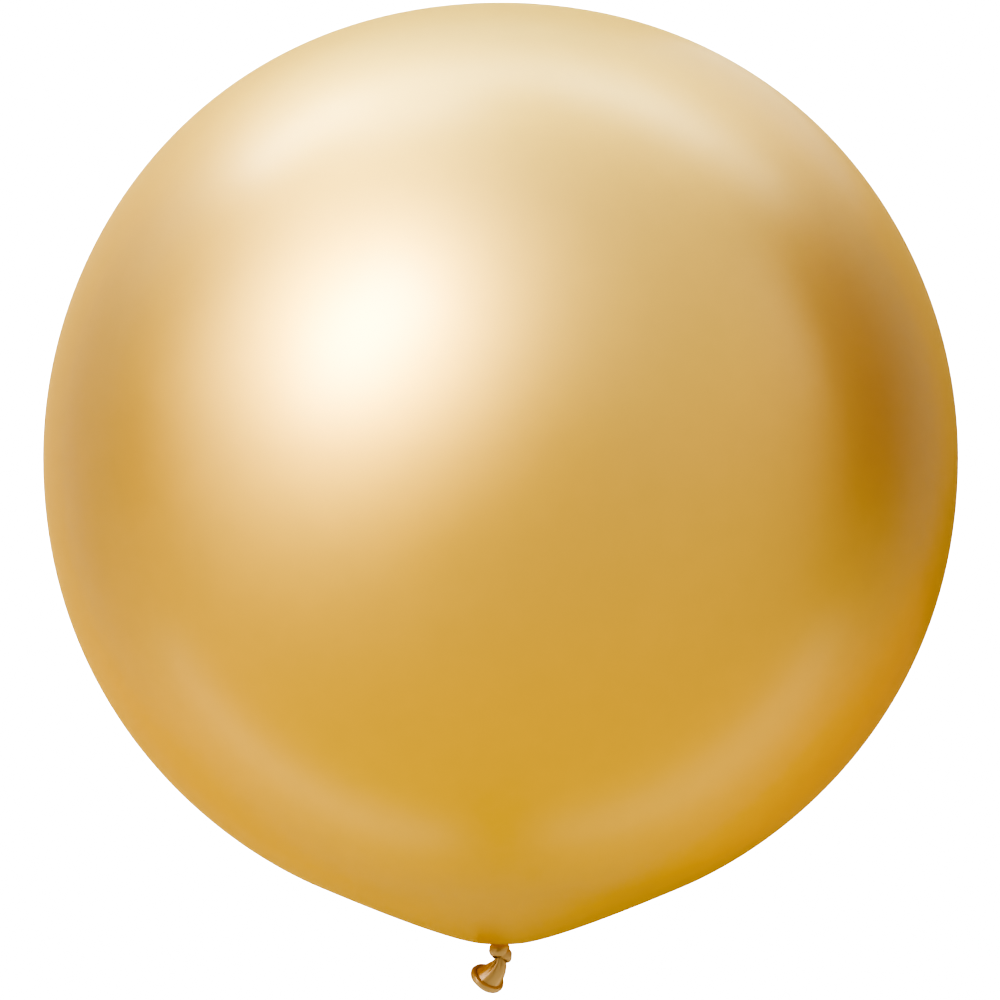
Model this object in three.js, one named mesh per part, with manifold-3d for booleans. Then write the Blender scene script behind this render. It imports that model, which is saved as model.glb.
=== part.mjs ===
// A round gold balloon of chrome latex, blown up, tied and lying on its side. One skin of latex
// makes the body, the neck, the overhand knot, the pleated tail and the rolled lip, so the balloon
// is one solid. Its long axis runs along Y, with the crown at +Y and the lip at -Y. The pressed
// spot under the widest ring lies on the plane Z = 0, and the centre of that spot is the origin.
import * as THREE from "three";
import { mergeVertices } from "three/addons/utils/BufferGeometryUtils.js";
import Module from "manifold-3d";

// Driving dimensions of the body, in millimetres from its widest ring
const BODY_RADIUS = 300;
const CROWN_HEIGHT = 298;
const CROWN_FLATNESS = 191; // how far the outline keeps level as it leaves the crown
const UPPER_FULLNESS = 147; // how far it stays upright above the widest ring
const LOWER_FULLNESS = 156; // and below it
const SHOULDER = { radius: 120, depth: 281.3, above: 85, below: 103 }; // where the cone flank starts
const FLANK_SLOPE = THREE.MathUtils.degToRad(23.2);
const DOME_DEPTH = 319.2; // lowest ring of the dome that the neck is drawn into
const DIMPLE = { radius: 9, blend: 4, height: 4, neckRadius: 4 };
const PRESSED_SPOT_RADIUS = 38; // the flat where the balloon lies on the floor

// The knot, in millimetres from its own centre, with +Z towards the upper side
const KNOT_DROP = 5.3; // from the dome's lowest ring to the knot's centre
const STRAND_RADIUS = 2.6; // the bunched neck where it runs through the knot
const BAND_HALF_WIDTH = 4; // the same strand flattened where it wraps round the outside
const BAND_HALF_THICKNESS = 2.1;
const BAND_STARTS = { within: 2, beyond: 4.5 }; // distances from the knot's axis

// The centre line of the strand, in the order in which it is tied
const KNOT_ROUTE = [
  [0.4, 11, -0.2], // the neck, inside the dimple
  [0.3, 4.8, 0.6],
  [0.6, 1.8, 1.3], // through the middle
  [2.8, -0.8, 3.0],
  [5.3, -2.4, 1.2], // the lobe at the right
  [4.6, -3.9, -2.5],
  [1.5, -3.4, -5.3], // across the back
  [-2.3, -1.6, -5.1],
  [-4.8, 0.2, -2.1],
  [-5.5, 0.9, 1.7], // the ear at the left
  [-3.2, 0.9, 4.5], // across the front
  [0.4, 1.3, 5.0],
  [3.2, 2.5, 2.6],
  [3.4, 1.2, -0.8],
  [0.9, -1.9, -1.7], // back through the middle
  [-0.9, -5.0, -1.5], // out to the tail
];

// The tail and the rolled lip, placed from the knot's centre
const TAIL_START = new THREE.Vector3(-0.9, -3.4, -1.3);
const TAIL_BEND = new THREE.Vector3(1.5, -10, -2.7);
const LIP_CENTRE = new THREE.Vector3(-8.9, -18.3, -6.5);
const LIP_AXIS = new THREE.Vector3(-0.462, -0.705, -0.538).normalize();
const LIP_RING_RADIUS = 9.9; // to the middle of the bead
const LIP_BEAD = { halfThickness: 2, halfLength: 2.5, waviness: 0.35 };
const TAIL_TOP_RADIUS = 3.3;
const TAIL_FLARE = 1.6; // above 1, the tail widens late, towards the lip
const TAIL_PLEATS = { count: 7, depth: 0.3, fade: 0.9 };
const TAIL_WALL = 0.9;
const MOUTH_DEPTH = 0.6; // share of the tail that is open behind the lip

// How finely the faces follow the curves
const BODY_SIDES = 68;
const OUTLINE_STEPS = { crown: 13, waist: 13, flank: 8, dimple: 2 };
const STRAND = { sides: 12, steps: 60, pieces: 6 };
const TAIL = { sides: 42, steps: 9, mouthSteps: 4 };
const LIP = { sides: 10, steps: 36 };

const SIDEWAYS = new THREE.Vector3(1, 0, 0);
const UP = new THREE.Vector3(0, 1, 0);

const wasm = await Module();
wasm.setup();

// A closed three.js geometry as a manifold solid
function solidOf(geometry) {
  const bare = geometry.index ? geometry.toNonIndexed() : geometry.clone();
  bare.deleteAttribute("normal");
  bare.deleteAttribute("uv");
  const merged = mergeVertices(bare, 1e-4);
  return new wasm.Manifold(
    new wasm.Mesh({
      numProp: 3,
      vertProperties: merged.attributes.position.array,
      triVerts: new Uint32Array(merged.index.array),
    }),
  );
}

// A manifold solid as a three.js geometry
function geometryOf(solid) {
  const mesh = solid.getMesh();
  const geometry = new THREE.BufferGeometry();
  geometry.setAttribute("position", new THREE.BufferAttribute(mesh.vertProperties, 3));
  geometry.setIndex(new THREE.BufferAttribute(mesh.triVerts, 1));
  geometry.computeVertexNormals();
  return geometry;
}

// A closed skin over a row of rings, each a list of as many points, with a fan at both ends
function skinOver(rings) {
  const sides = rings[0].length;
  const middle = (ring) =>
    ring.reduce((sum, p) => sum.add(p), new THREE.Vector3()).divideScalar(sides);
  const points = [...rings.flat(), middle(rings[0]), middle(rings[rings.length - 1])];
  const last = (rings.length - 1) * sides;
  const faces = [];
  for (let j = 0; j < sides; j++) {
    const next = (j + 1) % sides;
    for (let start = 0; start < last; start += sides) {
      faces.push(start + j, start + next, start + sides + next);
      faces.push(start + j, start + sides + next, start + sides + j);
    }
    faces.push(points.length - 2, next, j);
    faces.push(points.length - 1, last + j, last + next);
  }
  const geometry = new THREE.BufferGeometry().setFromPoints(points);
  geometry.setIndex(faces);
  return geometry;
}

// Half the body's outline as (radius, height) points, from the dimple round the neck to the crown
function bodyOutline() {
  const { radius, blend, height, neckRadius } = DIMPLE;
  const { crown, waist, flank, dimple } = OUTLINE_STEPS;
  const bottom = -DOME_DEPTH;
  const neckTop = bottom + height;
  const onFlank = (distance) => [
    SHOULDER.radius + distance * Math.cos(FLANK_SLOPE),
    -SHOULDER.depth + distance * Math.sin(FLANK_SLOPE),
  ];
  const shoulder = onFlank(0);
  const below = onFlank(-SHOULDER.below);
  const above = onFlank(SHOULDER.above);
  const curve = (steps, ...pairs) => {
    const points = pairs.map((pair) => new THREE.Vector2(...pair));
    return new THREE.CubicBezierCurve(...points).getPoints(steps).slice(1);
  };
  const neck = [neckRadius, neckTop];
  const rim = [radius, bottom];
  const widest = [BODY_RADIUS, 0];
  const top = [0, CROWN_HEIGHT];
  return [
    new THREE.Vector2(0, neckTop),
    new THREE.Vector2(...neck),
    ...curve(dimple, neck, [neckRadius, bottom], [radius - blend, bottom], rim),
    ...curve(flank, rim, [radius + blend, bottom], below, shoulder),
    ...curve(waist, shoulder, above, [BODY_RADIUS, -LOWER_FULLNESS], widest),
    ...curve(crown, widest, [BODY_RADIUS, UPPER_FULLNESS], [CROWN_FLATNESS, CROWN_HEIGHT], top),
  ];
}

// The blown-up body as a solid of revolution
function body() {
  return solidOf(new THREE.LatheGeometry(bodyOutline(), BODY_SIDES));
}

// One ring of the knot's strand: round near the knot's axis, flattened where it wraps outside
function strandRing(curve, t) {
  const centre = curve.getPoint(t);
  const tangent = curve.getTangent(t);
  const outward = new THREE.Vector3(centre.x, 0, centre.z);
  const flat = THREE.MathUtils.smoothstep(outward.length(), BAND_STARTS.within, BAND_STARTS.beyond);
  const thick = outward.addScaledVector(tangent, -outward.dot(tangent)).normalize();
  const wide = new THREE.Vector3().crossVectors(tangent, thick);
  const halfWidth = THREE.MathUtils.lerp(STRAND_RADIUS, BAND_HALF_WIDTH, flat);
  const halfThickness = THREE.MathUtils.lerp(STRAND_RADIUS, BAND_HALF_THICKNESS, flat);
  return Array.from({ length: STRAND.sides }, (_, i) => {
    const angle = (2 * Math.PI * i) / STRAND.sides;
    return centre
      .clone()
      .addScaledVector(thick, halfThickness * Math.cos(angle))
      .addScaledVector(wide, halfWidth * Math.sin(angle));
  });
}

// The overhand knot, in short lengths of strand that are joined where they press together
function knot() {
  const curve = new THREE.CatmullRomCurve3(KNOT_ROUTE.map((p) => new THREE.Vector3(...p)));
  const perPiece = STRAND.steps / STRAND.pieces;
  const pieces = Array.from({ length: STRAND.pieces }, (_, piece) => {
    const first = piece * perPiece;
    const last = Math.min(first + perPiece + 1, STRAND.steps);
    const rings = [];
    for (let step = first; step <= last; step++) {
      rings.push(strandRing(curve, step / STRAND.steps));
    }
    return solidOf(skinOver(rings));
  });
  return pieces.reduce((whole, piece) => whole.add(piece));
}

// One ring of the pleated tail at a share t of its length, pulled in by inset millimetres
function tailRing(t, inset) {
  const centreLine = new THREE.QuadraticBezierCurve3(TAIL_START, TAIL_BEND, LIP_CENTRE);
  const centre = centreLine.getPoint(t);
  const facing = centreLine.getTangent(t).lerp(LIP_AXIS, t * t).normalize();
  const across = SIDEWAYS.clone().addScaledVector(facing, -SIDEWAYS.dot(facing)).normalize();
  const over = new THREE.Vector3().crossVectors(facing, across);
  const radius = THREE.MathUtils.lerp(TAIL_TOP_RADIUS, LIP_RING_RADIUS, t ** TAIL_FLARE) - inset;
  const depth = TAIL_PLEATS.depth * (1 - TAIL_PLEATS.fade * t);
  return Array.from({ length: TAIL.sides }, (_, i) => {
    const angle = (2 * Math.PI * i) / TAIL.sides;
    const valley = 1 - Math.abs(Math.cos((TAIL_PLEATS.count * angle) / 2));
    const reach = radius * (1 - depth * valley * valley);
    return centre
      .clone()
      .addScaledVector(across, reach * Math.cos(angle))
      .addScaledVector(over, reach * Math.sin(angle));
  });
}

// The tail, closed at the knot and open behind the lip
function tail() {
  const outer = [];
  for (let step = 0; step <= TAIL.steps; step++) {
    outer.push(tailRing(step / TAIL.steps, 0));
  }
  const mouth = [];
  for (let step = 0; step <= TAIL.mouthSteps; step++) {
    const t = 1 - MOUTH_DEPTH + ((MOUTH_DEPTH + 0.05) * step) / TAIL.mouthSteps;
    mouth.push(tailRing(t, TAIL_WALL + (1 - step / TAIL.mouthSteps)));
  }
  return solidOf(skinOver(outer)).subtract(solidOf(skinOver(mouth)));
}

// The rolled bead of the lip, a ring that wavers a little out of its plane
function lip() {
  const { halfThickness, halfLength, waviness } = LIP_BEAD;
  const bead = new THREE.EllipseCurve(LIP_RING_RADIUS, 0, halfThickness, halfLength);
  const ring = new THREE.LatheGeometry(bead.getPoints(LIP.sides), LIP.steps);
  const points = ring.attributes.position;
  for (let i = 0; i < points.count; i++) {
    const angle = Math.atan2(points.getX(i), points.getZ(i));
    points.setY(i, points.getY(i) + waviness * Math.sin(2 * angle));
  }
  ring.applyQuaternion(new THREE.Quaternion().setFromUnitVectors(UP, LIP_AXIS));
  ring.translate(...LIP_CENTRE);
  return solidOf(ring);
}

// The balloon laid on its side, with its underside pressed flat on the floor
function balloon() {
  const knotCentre = [0, -DOME_DEPTH - KNOT_DROP, 0];
  const neckEnd = knot().add(tail()).add(lip()).translate(knotCentre);
  const pressedDepth = BODY_RADIUS - Math.sqrt(BODY_RADIUS ** 2 - PRESSED_SPOT_RADIUS ** 2);
  const laid = body().add(neckEnd).translate([0, 0, BODY_RADIUS - pressedDepth]);
  const floorSize = 2 * PRESSED_SPOT_RADIUS + BODY_RADIUS;
  const floor = new THREE.BoxGeometry(floorSize, floorSize, BODY_RADIUS);
  floor.translate(0, 0, -BODY_RADIUS / 2);
  const chromeLatex = new THREE.MeshStandardMaterial({
    color: new THREE.Color(0.83, 0.62, 0.24),
    roughness: 0.3,
    metalness: 0.9,
  });
  const mesh = new THREE.Mesh(geometryOf(laid.subtract(solidOf(floor))), chromeLatex);
  mesh.name = "balloon";
  return mesh;
}

const part = new THREE.Group();
part.add(balloon());
export default part;
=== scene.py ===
"""A large gold chrome latex balloon, tied in a knot and lying on its side on a pale floor.

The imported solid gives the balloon's place and its main sizes. This script makes the fine skin that
stands for it, with the knot's folds, the tail's pleats and the rolled lip, dresses that skin in
chrome latex, and lights it with soft studio panels.
"""

import logging
import math
from dataclasses import dataclass, field
from enum import Enum

import bpy
import numpy as np
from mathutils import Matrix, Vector


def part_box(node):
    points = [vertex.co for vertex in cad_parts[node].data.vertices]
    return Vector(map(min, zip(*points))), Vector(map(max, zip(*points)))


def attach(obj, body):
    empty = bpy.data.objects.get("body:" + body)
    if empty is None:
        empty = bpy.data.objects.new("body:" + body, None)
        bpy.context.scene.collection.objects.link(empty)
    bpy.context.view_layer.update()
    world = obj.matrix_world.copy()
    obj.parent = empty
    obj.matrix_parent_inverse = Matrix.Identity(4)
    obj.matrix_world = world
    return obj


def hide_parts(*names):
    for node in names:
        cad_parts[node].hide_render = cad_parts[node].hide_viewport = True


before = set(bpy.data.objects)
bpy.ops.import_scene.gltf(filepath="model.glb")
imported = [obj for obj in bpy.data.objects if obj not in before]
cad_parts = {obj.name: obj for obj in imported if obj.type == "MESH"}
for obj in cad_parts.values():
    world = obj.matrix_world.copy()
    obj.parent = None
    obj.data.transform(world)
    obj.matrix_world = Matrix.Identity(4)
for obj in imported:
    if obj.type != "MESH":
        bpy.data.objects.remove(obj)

log = logging.getLogger("balloon")

MM = 0.001
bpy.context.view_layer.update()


class Part(Enum):
    """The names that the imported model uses."""

    NODE = "balloon"
    BODY = "root"
    SLOT = "chrome_latex"


def smoothstep(value: np.ndarray, low: float, high: float) -> np.ndarray:
    """Ease from 0 at low to 1 at high.

    Args:
        value: The numbers to ease.
        low: Where the rise starts.
        high: Where the rise ends.

    Returns:
        The eased numbers, from 0 to 1.
    """
    share = np.clip((value - low) / (high - low), 0.0, 1.0)
    return share * share * (3.0 - 2.0 * share)


def unit(vectors: np.ndarray) -> np.ndarray:
    """Scale vectors to length 1, along the last axis."""
    return vectors / np.linalg.norm(vectors, axis=-1, keepdims=True)


def waves(angle: np.ndarray, terms: tuple[tuple[float, int, float], ...]) -> np.ndarray:
    """A sum of sine waves round a ring.

    Args:
        angle: The angles round the ring.
        terms: The strength, count and phase of each wave.

    Returns:
        The sum at each angle.
    """
    return sum(strength * np.sin(count * angle + phase) for strength, count, phase in terms)


def across_and_over(axis: np.ndarray) -> tuple[np.ndarray, np.ndarray]:
    """Two directions at right angles to an axis, the first as near to +X as it can be.

    Args:
        axis: The axis, of length 1.

    Returns:
        The first direction and the second.
    """
    sideways = np.array([1.0, 0.0, 0.0])
    across = unit(sideways - axis * sideways.dot(axis))
    return across, np.cross(axis, across)


def bezier(points: list[tuple[float, float]], steps: int) -> np.ndarray:
    """Points on a cubic curve.

    Args:
        points: The start, the two handles and the end.
        steps: How many points to give, the start left out.

    Returns:
        An array of steps rows.
    """
    t = np.linspace(0.0, 1.0, steps + 1)[1:, None]
    start, first, second, end = (np.array(p) for p in points)
    s = 1.0 - t
    return s**3 * start + 3 * s**2 * t * first + 3 * s * t**2 * second + t**3 * end


def through(points: np.ndarray, steps: int) -> np.ndarray:
    """A smooth curve through a row of points.

    Args:
        points: The points, one row each.
        steps: How many steps the whole curve has.

    Returns:
        An array of steps + 1 rows.
    """
    padded = np.vstack([2 * points[0] - points[1], points, 2 * points[-1] - points[-2]])
    place = np.linspace(0.0, len(points) - 1.0, steps + 1)
    leg = np.minimum(place.astype(int), len(points) - 2)
    t = (place - leg)[:, None]
    a, b, c, d = (padded[leg + i] for i in range(4))
    return 0.5 * (2 * b + (c - a) * t + (2 * a - 5 * b + 4 * c - d) * t**2 + (3 * b - a - 3 * c + d) * t**3)


def loft(name: str, rings: np.ndarray, closed: bool = False) -> bpy.types.Mesh:
    """A closed skin over a row of rings.

    Args:
        name: The mesh's name.
        rings: Points, as rings by sides by 3.
        closed: True where the last ring meets the first, so that there are no caps.

    Returns:
        The mesh, with its faces pointing out.
    """
    count, sides = rings.shape[:2]
    points = rings.reshape(-1, 3)
    spans = count if closed else count - 1
    ring, side = np.meshgrid(np.arange(spans), np.arange(sides), indexing="ij")
    here = ring * sides
    there = ((ring + 1) % count) * sides
    onward = (side + 1) % sides
    quads = np.stack([here + side, here + onward, there + onward, there + side], axis=-1)
    faces = quads.reshape(-1, 4).tolist()
    if not closed:
        points = np.vstack([points, rings[0].mean(axis=0), rings[-1].mean(axis=0)])
        last = (count - 1) * sides
        for j in range(sides):
            k = (j + 1) % sides
            faces.append((len(points) - 2, k, j))
            faces.append((len(points) - 1, last + j, last + k))
    mesh = bpy.data.meshes.new(name)
    mesh.from_pydata(points.tolist(), [], faces)
    mesh.validate()
    return mesh


def united(name: str, meshes: list[bpy.types.Mesh], cut: bool = False) -> bpy.types.Mesh:
    """Join closed meshes into one skin, or cut the later ones out of the first.

    Args:
        name: The new mesh's name.
        meshes: The closed meshes.
        cut: True to cut instead of join.

    Returns:
        The new mesh.
    """
    whole = meshes[0]
    for other in meshes[1:]:
        base = bpy.data.objects.new(name, whole)
        tool = bpy.data.objects.new(name + "_tool", other)
        for one in (base, tool):
            bpy.context.scene.collection.objects.link(one)
        union = base.modifiers.new("union", "BOOLEAN")
        union.operation = "DIFFERENCE" if cut else "UNION"
        union.solver = "MANIFOLD"
        union.object = tool
        graph = bpy.context.evaluated_depsgraph_get()
        whole = bpy.data.meshes.new_from_object(base.evaluated_get(graph))
        for one in (base, tool):
            bpy.data.objects.remove(one)
    whole.name = name
    return whole


@dataclass
class BlownBody:
    """The blown-up body, drawn in at the bottom to the neck and pressed flat where it lies."""

    radius: float
    crown: float
    axis_height: float
    crown_flatness: float = 191 * MM
    upper_fullness: float = 147 * MM
    lower_fullness: float = 156 * MM
    shoulder: tuple[float, float] = (120 * MM, -281.3 * MM)
    flank_slope: float = math.radians(23.2)
    flank_above: float = 85 * MM
    flank_below: float = 103 * MM
    dome_depth: float = 319.2 * MM
    dimple_radius: float = 9 * MM
    dimple_blend: float = 4 * MM
    dimple_height: float = 4 * MM
    neck_radius: float = 3.2 * MM
    press_softness: float = 1.2 * MM
    gathers: int = 11
    gather_depth: float = 0.25 * MM
    gather_reach: float = 14 * MM
    crown_cap_radius: float = 0.5 * MM
    dimple_steps: int = 10
    flank_steps: int = 28
    waist_steps: int = 44
    crown_steps: int = 52
    sides: int = 256

    def outline(self) -> np.ndarray:
        """Half the outline, from the neck to the crown.

        Returns:
            Rows of a radius and a height from the widest ring.
        """
        bottom = -self.dome_depth
        slope = np.array([math.cos(self.flank_slope), math.sin(self.flank_slope)])
        shoulder = np.array(self.shoulder)
        below = shoulder - self.flank_below * slope
        above = shoulder + self.flank_above * slope
        neck = (self.neck_radius, bottom + self.dimple_height)
        rim = (self.dimple_radius, bottom)
        inner = (self.dimple_radius - self.dimple_blend, bottom)
        outer = (self.dimple_radius + self.dimple_blend, bottom)
        widest = (self.radius, 0.0)
        widest_below = (self.radius, -self.lower_fullness)
        widest_above = (self.radius, self.upper_fullness)
        level_with_top = (self.crown_flatness, self.crown)
        top = (0.0, self.crown)
        rows = [
            np.array([neck]),
            bezier([neck, (self.neck_radius, bottom), inner, rim], self.dimple_steps),
            bezier([rim, outer, tuple(below), tuple(shoulder)], self.flank_steps),
            bezier([tuple(shoulder), tuple(above), widest_below, widest], self.waist_steps),
            bezier([widest, widest_above, level_with_top, top], self.crown_steps)[:-1],
            np.array([(self.crown_cap_radius, self.crown)]),
        ]
        return np.vstack(rows)

    def build(self) -> bpy.types.Mesh:
        """The body's skin, lying on the floor.

        Returns:
            The closed mesh.
        """
        half = self.outline()
        angle = np.linspace(0.0, 2 * math.pi, self.sides, endpoint=False)
        radius = half[:, 0, None]
        gathered = np.exp(-np.maximum(radius - self.dimple_radius, 0.0) / self.gather_reach)
        gathered *= smoothstep(radius, self.neck_radius, self.dimple_radius)
        radius = radius + self.gather_depth * gathered * np.cos(self.gathers * angle)[None, :]
        x = radius * np.sin(angle)
        y = np.broadcast_to(half[:, 1, None], x.shape)
        z = self.axis_height + radius * np.cos(angle)
        z = 0.5 * (z + np.sqrt(z**2 + self.press_softness**2))
        return loft("body", np.stack([x, y, z], axis=-1))


@dataclass
class Knot:
    """The overhand knot: the neck bunched into a strand, flattened where it wraps outside."""

    centre: Vector
    route: list[tuple[float, float, float]] = field(default_factory=lambda: [
        (0.4, 11, -0.2),  # the neck, inside the dimple
        (0.3, 4.8, 0.6),
        (0.6, 1.8, 1.3),  # through the middle
        (2.8, -0.8, 3.0),
        (5.3, -2.4, 1.2),  # the lobe at the right
        (4.6, -3.9, -2.5),
        (1.5, -3.4, -5.3),  # across the back
        (-2.3, -1.6, -5.1),
        (-4.8, 0.2, -2.1),
        (-5.5, 0.9, 1.7),  # the ear at the left
        (-3.2, 0.9, 4.5),  # across the front
        (0.4, 1.3, 5.0),
        (3.2, 2.5, 2.6),
        (3.4, 1.2, -0.8),
        (0.9, -1.9, -1.7),  # back through the middle
        (-0.9, -5.0, -1.5),  # out to the tail
    ])
    strand_radius: float = 2.6 * MM
    band_half_width: float = 4 * MM
    band_half_thickness: float = 2.1 * MM
    band_within: float = 2 * MM
    band_beyond: float = 4.5 * MM
    fold_depth: float = 0.06
    fold_waves: tuple[tuple[float, int, float, float], ...] = (
        (0.6, 5, 9.0, 0.0),  # strength, count round the strand, twist along it, phase
        (0.4, 8, -14.0, 1.0),
    )
    sides: int = 48
    steps: int = 240
    pieces: int = 6

    def rings(self) -> np.ndarray:
        """The strand's rings, from the neck to the tail.

        Returns:
            Points, as rings by sides by 3.
        """
        centre = through(np.array(self.route) * MM, self.steps)
        along = unit(np.gradient(centre, axis=0))
        outward = centre * np.array([1.0, 0.0, 1.0])
        flat = smoothstep(np.linalg.norm(outward, axis=1), self.band_within, self.band_beyond)
        thick = unit(outward - np.sum(outward * along, axis=1, keepdims=True) * along)
        wide = np.cross(along, thick)
        half_width = self.strand_radius + (self.band_half_width - self.strand_radius) * flat
        half_thickness = self.strand_radius + (self.band_half_thickness - self.strand_radius) * flat
        angle = np.linspace(0.0, 2 * math.pi, self.sides, endpoint=False)
        place = np.linspace(0.0, 1.0, self.steps + 1)[:, None]
        folds = sum(
            strength * np.cos(count * angle + twist * place + phase)
            for strength, count, twist, phase in self.fold_waves
        )
        reach = 1.0 + self.fold_depth * folds
        across_thick = (half_thickness[:, None] * reach * np.cos(angle))[:, :, None] * thick[:, None, :]
        across_wide = (half_width[:, None] * reach * np.sin(angle))[:, :, None] * wide[:, None, :]
        return centre[:, None, :] + across_thick + across_wide + np.array(self.centre)

    def build(self) -> list[bpy.types.Mesh]:
        """The strand in short lengths, each reaching a step into the next.

        Returns:
            The closed meshes.
        """
        rings = self.rings()
        length = self.steps // self.pieces
        starts = range(0, self.steps, length)
        return [loft("strand", rings[start:start + length + 2]) for start in starts]


@dataclass
class Tail:
    """The pleated tail below the knot, open behind the lip, and the rolled bead of the lip."""

    knot_centre: Vector
    start: tuple[float, float, float] = (-0.9, -3.4, -1.3)
    bend: tuple[float, float, float] = (1.5, -10, -2.7)
    lip_centre: tuple[float, float, float] = (-8.9, -18.3, -6.5)
    lip_axis: tuple[float, float, float] = (-0.462, -0.705, -0.538)
    top_radius: float = 3.3 * MM
    lip_radius: float = 9.9 * MM
    flare: float = 1.6
    pleats: int = 7
    pleat_depth: float = 0.42
    pleat_sharpness: float = 1.8
    pleat_spacing: tuple[tuple[float, int, float], ...] = ((0.2, 2, 0.6), (0.12, 3, -1.0))
    pleat_evenness: float = 0.85
    pleat_differences: tuple[tuple[float, int, float], ...] = ((0.3, 2, 2.0),)
    pleats_fade_from: float = 0.1
    pleats_fade_to: float = 0.8
    pleat_fade: float = 0.93
    fullness: float = 0.5 * MM
    wall: float = 0.8 * MM
    wall_gain: float = 1.0 * MM  # how much thicker the wall is at the bottom of the mouth
    mouth_depth: float = 0.62
    mouth_end: float = 1.05  # just past the tail's end, so that the mouth is cut open
    bead_half_thickness: float = 2.0 * MM
    bead_half_length: float = 2.5 * MM
    bead_waviness: float = 0.35 * MM
    bead_thickness_waves: tuple[tuple[float, int, float], ...] = ((0.08 * MM, 3, 0.7),)
    bead_length_waves: tuple[tuple[float, int, float], ...] = ((0.1 * MM, 5, 0.0),)
    rolls: int = 7
    roll_depth: float = 0.09 * MM
    roll_drift: float = 0.5
    sides: int = 108
    steps: int = 44
    lip_sides: int = 144
    bead_sides: int = 40

    def ring(self, t: float, inset: float) -> np.ndarray:
        """One pleated ring of the tail.

        Args:
            t: The share of the tail's length, from the knot.
            inset: How far the ring is pulled in.

        Returns:
            The ring's points, from the knot's centre.
        """
        start, bend, end = (np.array(p) * MM for p in (self.start, self.bend, self.lip_centre))
        centre = (1 - t) ** 2 * start + 2 * t * (1 - t) * bend + t**2 * end
        tangent = unit((1 - t) * (bend - start) + t * (end - bend))
        axis = unit(np.array(self.lip_axis))
        facing = unit(tangent * (1 - t**2) + axis * t**2)
        across, over = across_and_over(facing)
        radius = self.top_radius + (self.lip_radius - self.top_radius) * t**self.flare - inset
        radius += self.fullness * math.sin(math.pi * t)
        faded = float(smoothstep(np.array(t), self.pleats_fade_from, self.pleats_fade_to))
        angle = np.linspace(0.0, 2 * math.pi, self.sides, endpoint=False)
        spread = angle + waves(angle, self.pleat_spacing)
        valley = 1 - np.abs(np.cos(self.pleats * spread / 2))
        uneven = self.pleat_evenness + waves(angle, self.pleat_differences)
        depth = self.pleat_depth * (1 - self.pleat_fade * faded) * uneven
        reach = radius * (1 - depth * valley**self.pleat_sharpness)
        return centre + np.outer(reach * np.cos(angle), across) + np.outer(reach * np.sin(angle), over)

    def cone(self) -> bpy.types.Mesh:
        """The tail itself, with the hollow behind the lip cut out.

        Returns:
            The closed mesh.
        """
        shift = np.array(self.knot_centre)
        outer = np.stack([self.ring(t, 0.0) for t in np.linspace(0.0, 1.0, self.steps + 1)])
        shares = np.linspace(0.0, 1.0, self.steps // 2)
        bottom = 1 - self.mouth_depth
        inner = np.stack([
            self.ring(bottom + (self.mouth_end - bottom) * s, self.wall + (1 - s) * self.wall_gain)
            for s in shares
        ])
        return united("tail", [loft("tail_skin", outer + shift), loft("mouth", inner + shift)], cut=True)

    def lip(self) -> bpy.types.Mesh:
        """The rolled bead, with the shallow steps of its rolls.

        The bead is walked backwards, so that its faces point out.

        Returns:
            The closed mesh.
        """
        axis = unit(np.array(self.lip_axis))
        across, over = across_and_over(axis)
        round_lip = np.linspace(0.0, 2 * math.pi, self.lip_sides, endpoint=False)[:, None]
        round_bead = np.linspace(2 * math.pi, 0.0, self.bead_sides, endpoint=False)[None, :]
        drift = self.roll_drift * np.sin(2 * round_lip)
        rolls = self.roll_depth * np.cos(self.rolls * round_bead + drift)
        thick = self.bead_half_thickness + rolls + waves(round_lip, self.bead_thickness_waves)
        length = self.bead_half_length + rolls + waves(round_lip, self.bead_length_waves)
        radius = self.lip_radius + thick * np.cos(round_bead)
        height = length * np.sin(round_bead) + self.bead_waviness * np.sin(2 * round_lip)
        place = np.array(self.knot_centre) + np.array(self.lip_centre) * MM
        points = (
            place
            + (radius * np.cos(round_lip))[:, :, None] * across
            + (radius * np.sin(round_lip))[:, :, None] * over
            + height[:, :, None] * axis
        )
        return loft("lip", points, closed=True)


class Signal:
    """A shader value that adds its own Math nodes when it is used in sums."""

    def __init__(self, sheet: "NodeSheet", socket: bpy.types.NodeSocket) -> None:
        """Wrap an output socket of a sheet's node."""
        self.sheet = sheet
        self.socket = socket

    def _math(self, operation: str, *values: "Signal | float") -> "Signal":
        """Add one Math node over the given values."""
        inputs = {index: value for index, value in enumerate(values)}
        return self.sheet.add("ShaderNodeMath", {"operation": operation}, inputs)

    def __add__(self, other: "Signal | float") -> "Signal":
        """This value plus another."""
        return self._math("ADD", self, other)

    __radd__ = __add__

    def __mul__(self, other: "Signal | float") -> "Signal":
        """This value times another."""
        return self._math("MULTIPLY", self, other)

    __rmul__ = __mul__


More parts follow.
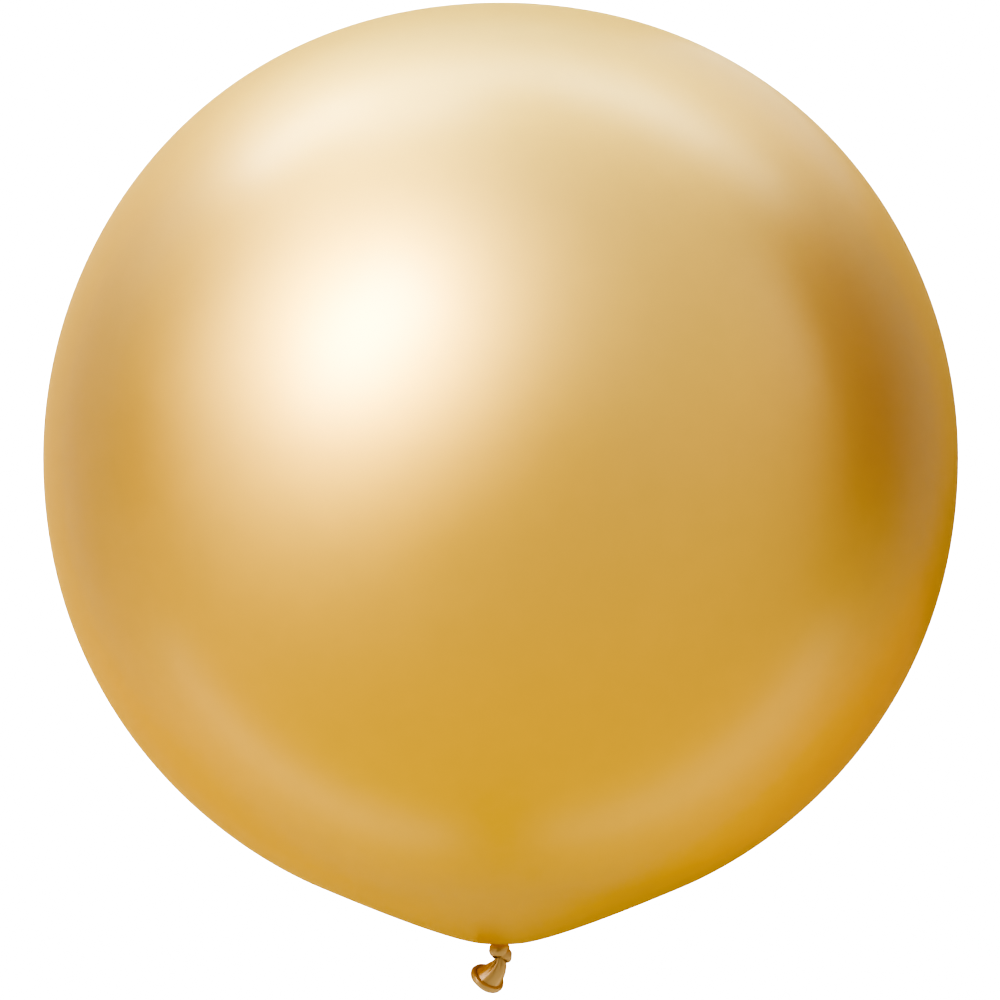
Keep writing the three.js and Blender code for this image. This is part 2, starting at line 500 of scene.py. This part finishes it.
class NodeSheet:
    """The node tree of one material, with one way to add a node."""

    def __init__(self, name: str) -> None:
        """Start an empty material.

        Args:
            name: The material's name.
        """
        self.material = bpy.data.materials.new(name)
        self.material.use_nodes = True
        self.tree = self.material.node_tree
        self.tree.nodes.clear()

    def add(self, kind: str, settings: dict | None = None, inputs: dict | None = None,
            output: str | int = 0) -> Signal:
        """Add a node, set it up and link it.

        Args:
            kind: The node's type.
            settings: Attributes of the node, which are set first. A colour ramp's stops are
                given as "stops", a list of places from 0 to 1 and colours.
            inputs: Values or signals by socket name, identifier or number.
            output: The output that is wanted, by name, identifier or number.

        Returns:
            The wanted output.
        """
        node = self.tree.nodes.new(kind)
        for key, value in (settings or {}).items():
            if key == "stops":
                self.set_stops(node.color_ramp.elements, value)
            else:
                setattr(node, key, value)
        for key, value in (inputs or {}).items():
            socket = self.find(node.inputs, key)
            if isinstance(value, Signal):
                self.tree.links.new(value.socket, socket)
            else:
                socket.default_value = value
        return Signal(self, self.find(node.outputs, output))

    def surfaced(self, shader: Signal) -> bpy.types.Material:
        """Finish the material.

        Args:
            shader: The shader of its surface.

        Returns:
            The material.
        """
        output = self.tree.nodes.new("ShaderNodeOutputMaterial")
        self.tree.links.new(shader.socket, output.inputs["Surface"])
        return self.material

    @staticmethod
    def find(sockets: bpy.types.bpy_prop_collection, key: str | int) -> bpy.types.NodeSocket:
        """Find a socket.

        Args:
            sockets: A node's inputs or outputs.
            key: The socket's number, identifier or name.

        Returns:
            The socket.
        """
        if isinstance(key, int):
            return sockets[key]
        return next((s for s in sockets if s.identifier == key), None) or sockets[key]

    @staticmethod
    def set_stops(elements: bpy.types.bpy_prop_collection, stops: list[tuple[float, tuple]]) -> None:
        """Give a colour ramp its stops.

        Args:
            elements: The ramp's elements.
            stops: Pairs of a place, from 0 to 1, and a colour.
        """
        while len(elements) < len(stops):
            elements.new(1.0)
        for element, (place, shown) in zip(elements, stops):
            element.position = place
            element.color = (*shown, 1.0)

    def blend(self, share: Signal | float, first: Signal | tuple, second: Signal | tuple,
              mode: str = "MIX") -> Signal:
        """Mix two colours.

        Args:
            share: How much of the second colour.
            first: The first colour.
            second: The second colour.
            mode: The way they mix.

        Returns:
            The mixed colour.
        """
        settings = {"data_type": "RGBA", "blend_type": mode}
        inputs = {"Factor_Float": share, "A_Color": first, "B_Color": second}
        return self.add("ShaderNodeMix", settings, inputs, "Result_Color")

    def noise(self, coordinates: Signal, scale: float, detail: float) -> Signal:
        """A noise value, from 0 to 1, at a scale per metre."""
        return self.add("ShaderNodeTexNoise", None, {"Vector": coordinates, "Scale": scale, "Detail": detail})

    def tones(self, value: Signal, low: float, high: float,
              stops: tuple[tuple[float, tuple[float, float, float]], ...]) -> Signal:
        """Colours along a value.

        Args:
            value: The value.
            low: The value at the ramp's start, at or below the first stop.
            high: The value at the ramp's end, at or above the last stop.
            stops: Pairs of a value and its colour.

        Returns:
            The colour.
        """
        share = self.add("ShaderNodeMapRange", None, {"Value": value, "From Min": low, "From Max": high})
        places = [((place - low) / (high - low), shown) for place, shown in stops]
        return self.add("ShaderNodeValToRGB", {"stops": places}, {"Fac": share})


@dataclass(frozen=True)
class Mottle:
    """A soft unevenness of the latex, and how much of it shows."""

    scale: float
    detail: float
    in_shade: float
    in_roughness: float


@dataclass(frozen=True)
class ChromeLatex:
    """Gold chrome latex: the slack latex of the knot and the tail is darker; along the body the colour is
    painted light, deeper gold towards the neck and paler, whiter gold towards the crown, where the lights
    fall.
    """

    tones: tuple[tuple[float, tuple[float, float, float]], ...] = (
        (-323 * MM, (0.68, 0.43, 0.14)),  # the slack latex of the knot and the tail
        # from here to the crown, painted light: the body is painted paler and whiter towards the crown, where
        # the lights fall, and deeper gold towards the neck
        (-318 * MM, (0.90, 0.53, 0.02)),
        (-290 * MM, (1.000, 0.597, 0.008)),
        (-150 * MM, (0.958, 0.561, 0.045)),
        (0 * MM, (0.887, 0.547, 0.096)),
        (150 * MM, (0.825, 0.558, 0.131)),
        (298 * MM, (0.774, 0.594, 0.148)),
    )
    tone_low: float = -350 * MM
    tone_high: float = 350 * MM
    edge_tint: tuple[float, float, float] = (0.94, 0.74, 0.24)
    clouds: Mottle = Mottle(scale=7.0, detail=3.0, in_shade=0.06, in_roughness=0.06)
    streaks: Mottle = Mottle(scale=60.0, detail=4.0, in_shade=0.04, in_roughness=0.0)
    flakes: Mottle = Mottle(scale=1500.0, detail=2.0, in_shade=0.04, in_roughness=0.03)
    least_shade: float = 0.93
    least_roughness: float = 0.505
    grain_strength: float = 0.06
    grain_depth: float = 0.2 * MM
    coat_roughness: float = 0.32
    coat_ior: float = 1.5

    def material(self) -> bpy.types.Material:
        """Make the material.

        Returns:
            The finished material.
        """
        sheet = NodeSheet("chrome_latex")
        where = sheet.add("ShaderNodeTexCoord", None, None, "Object")
        height = sheet.add("ShaderNodeSeparateXYZ", None, {"Vector": where}, "Y")
        # the colour along the balloon's axis, with painted light: paler towards the crown, deeper gold
        # towards the neck
        base = sheet.tones(height, self.tone_low, self.tone_high, self.tones)
        clouds = sheet.noise(where, self.clouds.scale, self.clouds.detail)
        streaks = sheet.noise(where, self.streaks.scale, self.streaks.detail)
        flakes = sheet.noise(where, self.flakes.scale, self.flakes.detail)
        shade = self.least_shade + self.clouds.in_shade * clouds
        shade = shade + self.streaks.in_shade * streaks + self.flakes.in_shade * flakes
        grey = sheet.add("ShaderNodeCombineColor", None, {0: shade, 1: shade, 2: shade})
        base = sheet.blend(1.0, base, grey, "MULTIPLY")
        rough = self.least_roughness + self.clouds.in_roughness * clouds
        rough = rough + self.flakes.in_roughness * flakes
        grain = sheet.add("ShaderNodeBump", None, {
            "Strength": self.grain_strength,
            "Distance": self.grain_depth,
            "Height": flakes,
        })
        shader = sheet.add("ShaderNodeBsdfPrincipled", None, {
            "Base Color": base,
            "Metallic": 1.0,
            "Roughness": rough,
            "Normal": grain,
            "Specular Tint": (*self.edge_tint, 1.0),
            "Coat Weight": 1.0,
            "Coat Roughness": self.coat_roughness,
            "Coat IOR": self.coat_ior,
        })
        return sheet.surfaced(shader)


@dataclass
class Balloon:
    """The whole balloon, one skin from the crown to the lip."""

    finish: ChromeLatex = field(default_factory=ChromeLatex)
    knot_drop: float = 5.3 * MM
    crease_angle: float = math.radians(38)

    def __post_init__(self) -> None:
        """Take the body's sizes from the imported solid."""
        low, high = (Vector(corner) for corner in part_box(Part.NODE.value))
        self.radius = (high.x - low.x) / 2
        self.axis_height = high.z - self.radius
        self.crown = high.y

    def build(self) -> bpy.types.Object:
        """Make the skin, dress it and fasten it to the frame.

        Returns:
            The finished piece.
        """
        body = BlownBody(self.radius, self.crown, self.axis_height)
        knot_centre = Vector((0.0, -body.dome_depth - self.knot_drop, self.axis_height))
        tail = Tail(knot_centre)
        meshes = [body.build(), *Knot(knot_centre).build(), tail.cone(), tail.lip()]
        mesh = united("balloon_skin", meshes)
        mesh.polygons.foreach_set("use_smooth", [True] * len(mesh.polygons))
        mesh.set_sharp_from_angle(angle=self.crease_angle)
        mesh.materials.clear()
        mesh.materials.append(self.finish.material())
        piece = bpy.data.objects.new("balloon_skin", mesh)
        bpy.context.scene.collection.objects.link(piece)
        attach(piece, Part.BODY.value)
        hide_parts(Part.NODE.value)
        log.info("%s: %d faces", piece.name, len(mesh.polygons))
        return piece


@dataclass
class OverheadCamera:
    """A long lens that looks straight down, with the crown at the top of the picture."""

    radius: float
    axis_height: float
    distance: float = 4.0
    width_in_picture: float = 0.9154  # how much of the frame the body spans
    look_at: tuple[float, float] = (-0.0004, -0.0279)
    sensor: float = 36.0  # in millimetres
    farthest: float = 100.0

    def build(self) -> bpy.types.Object:
        """Make the camera and use it for the picture.

        Returns:
            The camera.
        """
        data = bpy.data.cameras.new("overhead")
        outline_radius = self.distance * math.tan(math.asin(self.radius / self.distance))
        data.sensor_width = self.sensor
        data.lens = self.sensor * self.distance * self.width_in_picture / (2 * outline_radius)
        data.clip_end = self.farthest
        camera = bpy.data.objects.new("overhead", data)
        camera.location = (*self.look_at, self.axis_height + self.distance)
        bpy.context.scene.collection.objects.link(camera)
        bpy.context.scene.camera = camera
        return camera


@dataclass(frozen=True)
class Hanging:
    """A flat rectangle that faces the balloon, placed by compass and height angle.

    The azimuth runs from +X towards +Y, and the elevation up from the balloon's axis.
    """

    name: str
    azimuth: float
    elevation: float
    distance: float
    width: float
    height: float

    def place(self, thing: bpy.types.Object, target: Vector) -> None:
        """Hang a thing here, with its front to the target.

        Args:
            thing: The light or the sheet.
            target: The point that it faces.
        """
        turn, lift = math.radians(self.azimuth), math.radians(self.elevation)
        away = Vector((math.cos(lift) * math.cos(turn), math.cos(lift) * math.sin(turn), math.sin(lift)))
        thing.location = target + away * self.distance
        thing.rotation_euler = away.to_track_quat("Z", "Y").to_euler()
        thing.visible_camera = False
        bpy.context.scene.collection.objects.link(thing)


@dataclass(frozen=True)
class Panel(Hanging):
    """A soft white light."""

    radiance: float
    colour: tuple[float, float, float] = (1.0, 1.0, 1.0)

    def build(self, target: Vector) -> bpy.types.Object:
        """Hang the light.

        Args:
            target: The point that it faces.

        Returns:
            The light.
        """
        data = bpy.data.lights.new(self.name, "AREA")
        data.color = self.colour
        data.shape = "RECTANGLE"
        data.size = self.width
        data.size_y = self.height
        data.energy = math.pi * self.width * self.height * self.radiance
        light = bpy.data.objects.new(self.name, data)
        self.place(light, target)
        return light


@dataclass(frozen=True)
class Card(Hanging):
    """A dark card, which keeps the room's light from one side of the balloon."""

    colour: tuple[float, float, float] = (0.1, 0.1, 0.1)

    def build(self, target: Vector) -> bpy.types.Object:
        """Hang the card.

        Args:
            target: The point that it faces.

        Returns:
            The card.
        """
        sheet = sheet_of(self.name, self.width, self.height, matt_paint(self.name, self.colour))
        self.place(sheet, target)
        return sheet


def matt_paint(name: str, colour: tuple[float, float, float], glow: float = 0.0) -> bpy.types.Material:
    """A matt paint.

    Args:
        name: The material's name.
        colour: Its colour.
        glow: How much white light it gives of itself.

    Returns:
        The material.
    """
    sheet = NodeSheet(name)
    return sheet.surfaced(sheet.add("ShaderNodeBsdfPrincipled", None, {
        "Base Color": (*colour, 1.0),
        "Roughness": 0.9,
        "Specular IOR Level": 0.2,
        "Emission Color": (1.0, 1.0, 1.0, 1.0),
        "Emission Strength": glow,
    }))


def sheet_of(name: str, width: float, height: float, material: bpy.types.Material) -> bpy.types.Object:
    """A flat rectangle round its own origin.

    Args:
        name: The rectangle's name.
        width: Its size along X.
        height: Its size along Y.
        material: Its material.

    Returns:
        The rectangle, not yet linked to the scene.
    """
    x, y = width / 2, height / 2
    mesh = bpy.data.meshes.new(name)
    mesh.from_pydata([(-x, -y, 0.0), (x, -y, 0.0), (x, y, 0.0), (-x, y, 0.0)], [], [(0, 1, 2, 3)])
    mesh.materials.append(material)
    return bpy.data.objects.new(name, mesh)


@dataclass(frozen=True)
class PaintedLightPatch:
    """A square of painted light on the mirrored floor: a pool of colour standing in for light, which the
    balloon's rim picks up.
    """

    name: str
    centre: tuple[float, float]
    size: float
    drop: float
    colour: tuple[float, float, float]

    def build(self) -> bpy.types.Object:
        """Lay the square, which only mirrors show.

        Returns:
            The square, not yet linked to the scene.
        """
        sheet = sheet_of(self.name, self.size, self.size, matt_paint(self.name, self.colour))
        sheet.location = (*self.centre, -self.drop)
        sheet.visible_camera = False
        sheet.visible_diffuse = False
        return sheet


@dataclass
class Studio:
    """The pale floor, the even light of the room, the soft panels and the dark cards."""

    target: Vector
    floor_size: float = 60.0
    floor_colour: tuple[float, float, float] = (0.9, 0.9, 0.9)
    floor_glow: float = 4.0
    mirrored_colour: tuple[float, float, float] = (0.42, 0.42, 0.42)
    mirrored_drop: float = 0.5 * MM
    # squares of painted light on the mirrored floor, which only the balloon's reflections show
    painted_light_patches: tuple[PaintedLightPatch, ...] = (
        # name, centre, size, drop below the seen floor and colour
        # painted pool of gold light under the balloon, as if bounced off it onto the floor
        PaintedLightPatch("painted_warm_pool", (0.0, 0.0), 1.2, 0.3 * MM, (0.54, 0.41, 0.15)),
        # painted light over the balloon's shadow on the floor at the lower right
        PaintedLightPatch("painted_fill_light", (0.50, -0.42), 0.5, 0.2 * MM, (0.80, 0.57, 0.27)),
        # painted pale pool of light on the floor towards the crown, at the right
        PaintedLightPatch("painted_crown_light", (0.36, 0.52), 0.36, 0.2 * MM, (0.88, 0.79, 0.62)),
    )
    room_strength: float = 0.598
    hangings: tuple[Hanging, ...] = (
        # name, azimuth, elevation, distance, width and height
        Panel("key", 135.2, 47.6, 2.2, 0.96, 0.65, radiance=20.5, colour=(0.97, 1.0, 1.2)),
        Panel("key_skirt", 104.7, -3.5, 2.6, 1.01, 0.49, radiance=6.65, colour=(0.97, 1.0, 1.1)),
        Panel("key_top", 141.0, 47.0, 2.4, 1.52, 0.51, radiance=9.45, colour=(0.97, 1.0, 1.2)),
        Panel("behind_crown", 94.1, -13.8, 1.5, 2.31, 0.27, radiance=12.68),
        Panel("low_left", 235.4, -10.1, 1.6, 1.74, 0.29, radiance=2.1),
        Panel("low_front", 305.1, -6.4, 1.6, 1.82, 0.34, radiance=1.2),
        Card("right_card", 15.0, 3.3, 0.9, 0.78, 0.38, colour=(0.18, 0.08, 0.16)),
        Card("left_card", 159.8, 5.0, 1.0, 1.07, 0.51, colour=(0.22, 0.14, 0.1)),
        Card("top_card", 209.4, 84.8, 2.8, 1.51, 2.91, colour=(0.04, 0.04, 0.04)),
        Panel("right_bank", 24.3, -0.2, 2.8, 1.31, 0.70, radiance=5.92),
        Panel("back_right", 62.0, -12.3, 1.6, 1.08, 0.26, radiance=6.5),
        Panel("back_left", 129.4, -10.6, 1.5, 0.99, 0.35, radiance=9.00),
    )

    def floors(self) -> None:
        """The floor that is seen, and the darker one just below it that the balloon mirrors."""
        size = self.floor_size
        seen = sheet_of("floor", size, size, matt_paint("pale_floor", self.floor_colour, self.floor_glow))
        seen.visible_diffuse = False
        seen.visible_glossy = False
        seen.visible_shadow = False
        mirrored = sheet_of("mirrored_floor", size, size, matt_paint("grey_floor", self.mirrored_colour))
        mirrored.location.z = -self.mirrored_drop
        mirrored.visible_camera = False
        mirrored.visible_diffuse = False
        # the squares of painted light, seen only in reflections
        painted_light_patches = [patch.build() for patch in self.painted_light_patches]
        for floor in (seen, mirrored, *painted_light_patches):
            bpy.context.scene.collection.objects.link(floor)

    def room(self) -> None:
        """The even light from all round."""
        world = bpy.data.worlds.new("room")
        world.use_nodes = True
        background = world.node_tree.nodes["Background"]
        background.inputs["Color"].default_value = (1.0, 1.0, 1.0, 1.0)
        background.inputs["Strength"].default_value = self.room_strength
        bpy.context.scene.world = world

    def build(self) -> None:
        """Set up the whole studio."""
        self.floors()
        self.room()
        for hanging in self.hangings:
            hanging.build(self.target)
        view = bpy.context.scene.view_settings
        view.view_transform = "AgX"
        view.look = "AgX - Very High Contrast"


def main() -> None:
    """Build the camera, the balloon and the studio, in that order."""
    balloon = Balloon()
    OverheadCamera(balloon.radius, balloon.axis_height).build()
    balloon.build()
    Studio(Vector((0.0, 0.0, balloon.axis_height))).build()


if __name__ == "__main__":
    logging.basicConfig(level=logging.INFO, format="%(message)s")
    main()
